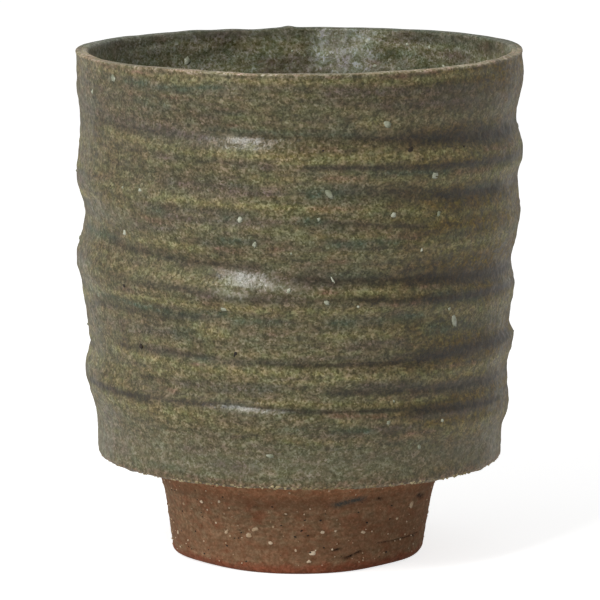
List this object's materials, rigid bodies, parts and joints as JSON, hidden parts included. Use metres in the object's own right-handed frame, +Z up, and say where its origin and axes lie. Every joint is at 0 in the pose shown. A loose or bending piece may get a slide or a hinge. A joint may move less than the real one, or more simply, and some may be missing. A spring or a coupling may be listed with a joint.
{
  "type": "tea cup",
  "caption": "Tall stoneware tea cup without a handle: nearly straight wall with throwing ridges, glazed inside and out, on a narrower bare foot ring.",
  "frame": {"origin": "centre of the circle that the cup stands on, at the underside of the foot ring", "axes": "+Z up along the axis of the cup, -Y towards the pictured front, +X to its right"},
  "size_m": [0.0806, 0.0805, 0.0916],
  "materials": {
    "bare_clay": "unglazed iron-bearing stoneware with fine grog, dry and matt",
    "slip": "fired clay slip, matt",
    "ash_glaze_outside": "mottled olive and brown ash glaze, satin",
    "ash_glaze_inside": "mottled olive and grey-green ash glaze, satin"
  },
  "bodies": {
    "root": {"clay_body": "bare_clay", "foot_ring": "bare_clay", "luting_slip": "slip", "outer_glaze": "ash_glaze_outside", "inner_glaze": "ash_glaze_inside"}
  },
  "joints": []
}
